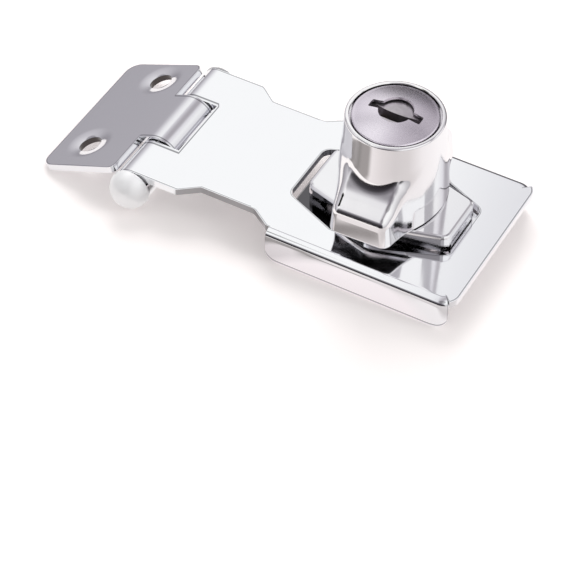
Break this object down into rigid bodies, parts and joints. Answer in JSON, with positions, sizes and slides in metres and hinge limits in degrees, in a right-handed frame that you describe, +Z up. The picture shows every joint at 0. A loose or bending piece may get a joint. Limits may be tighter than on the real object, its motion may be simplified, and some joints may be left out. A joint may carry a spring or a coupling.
{
  "type": "keyed twist-knob hasp",
  "caption": "Hinged sheet-metal hasp strap over a die-cast lock base, held by a keyed twist knob with a crosswise wing.",
  "frame": {"origin": "on the knob's axis, level with the underside of the lock base and the lower edges of the strap's side flanges", "axes": "+X along the strap from the hinge to its free end, +Y from the hinge pin's round head to its riveted end, +Z up out of the surface it is fixed to"},
  "size_m": [0.094, 0.0412, 0.0343],
  "materials": {
    "strap": "bright chrome plate on steel sheet",
    "leaf": "bright chrome plate on steel sheet",
    "hinge_pin": "bright chrome plate on steel",
    "lock_base": "bright chrome plate on die-cast zinc",
    "knob_body": "bright chrome plate on die-cast zinc",
    "keyhole_cap": "satin stainless steel",
    "cam": "zinc-plated steel",
    "cam_screw": "zinc-plated steel",
    "lock_bolt": "zinc-plated steel",
    "stop_pin": "zinc-plated steel",
    "thrust_washer": "zinc-plated steel",
    "wave_washer": "zinc-plated steel",
    "snap_ring": "zinc-plated steel",
    "wafer_spring_1": "zinc-plated steel",
    "wafer_spring_2": "zinc-plated steel",
    "wafer_spring_3": "zinc-plated steel",
    "wafer_spring_4": "zinc-plated steel",
    "wafer_spring_5": "zinc-plated steel",
    "plug": "machined brass",
    "wafer_1": "machined brass",
    "wafer_2": "machined brass",
    "wafer_3": "machined brass",
    "wafer_4": "machined brass",
    "wafer_5": "machined brass"
  },
  "bodies": {
    "base": {"strap": "strap", "lock_base": "lock_base", "hinge_pin": "hinge_pin", "thrust_washer": "thrust_washer", "wave_washer": "wave_washer"},
    "leaf": {"leaf": "leaf"},
    "knob": {"knob_body": "knob_body", "snap_ring": "snap_ring", "stop_pin": "stop_pin"},
    "plug": {"plug": "plug", "keyhole_cap": "keyhole_cap", "cam": "cam", "cam_screw": "cam_screw", "wafer_spring_1": "wafer_spring_1", "wafer_spring_2": "wafer_spring_2", "wafer_spring_3": "wafer_spring_3", "wafer_spring_4": "wafer_spring_4", "wafer_spring_5": "wafer_spring_5"},
    "bolt": {"lock_bolt": "lock_bolt"},
    "wafer_body_1": {"wafer_1": "wafer_1"},
    "wafer_body_2": {"wafer_2": "wafer_2"},
    "wafer_body_3": {"wafer_3": "wafer_3"},
    "wafer_body_4": {"wafer_4": "wafer_4"},
    "wafer_body_5": {"wafer_5": "wafer_5"}
  },
  "joints": [
    {"name": "leaf_swing", "type": "hinge", "parent": "base", "child": "leaf", "pos_m": [-0.0492, 0, 0.0034], "axis": [0, 1, 0], "range_deg": [-160, 78]},
    {"name": "knob_turn", "type": "hinge", "parent": "base", "child": "knob", "pos_m": [0, 0, 0.0112], "axis": [0, 0, 1], "range_deg": [0, 90]},
    {"name": "plug_turn", "type": "hinge", "parent": "knob", "child": "plug", "pos_m": [0, 0, 0.0275], "axis": [0, 0, 1], "range_deg": [0, 90]},
    {"name": "bolt_slide", "type": "slide", "parent": "knob", "child": "bolt", "axis": [1, 0, 0], "range_m": [0, 0.0022]},
    {"name": "wafer_1_slide", "type": "slide", "parent": "plug", "child": "wafer_body_1", "axis": [1, 0, 0], "range_m": [0, 0.0009], "stiffness_N_per_m": 2, "springref_m": 0.0009, "deforming": ["wafer_spring_1"]},
    {"name": "wafer_2_slide", "type": "slide", "parent": "plug", "child": "wafer_body_2", "axis": [1, 0, 0], "range_m": [0, 0.0009], "stiffness_N_per_m": 2, "springref_m": 0.0009, "deforming": ["wafer_spring_2"]},
    {"name": "wafer_3_slide", "type": "slide", "parent": "plug", "child": "wafer_body_3", "axis": [1, 0, 0], "range_m": [0, 0.0009], "stiffness_N_per_m": 2, "springref_m": 0.0009, "deforming": ["wafer_spring_3"]},
    {"name": "wafer_4_slide", "type": "slide", "parent": "plug", "child": "wafer_body_4", "axis": [1, 0, 0], "range_m": [0, 0.0009], "stiffness_N_per_m": 2, "springref_m": 0.0009, "deforming": ["wafer_spring_4"]},
    {"name": "wafer_5_slide", "type": "slide", "parent": "plug", "child": "wafer_body_5", "axis": [1, 0, 0], "range_m": [0, 0.0009], "stiffness_N_per_m": 2, "springref_m": 0.0009, "deforming": ["wafer_spring_5"]}
  ],
  "couplings": [
    {"joint": "bolt_slide", "follows": "plug_turn", "m_per_rad": 0.0014006}
  ]
}
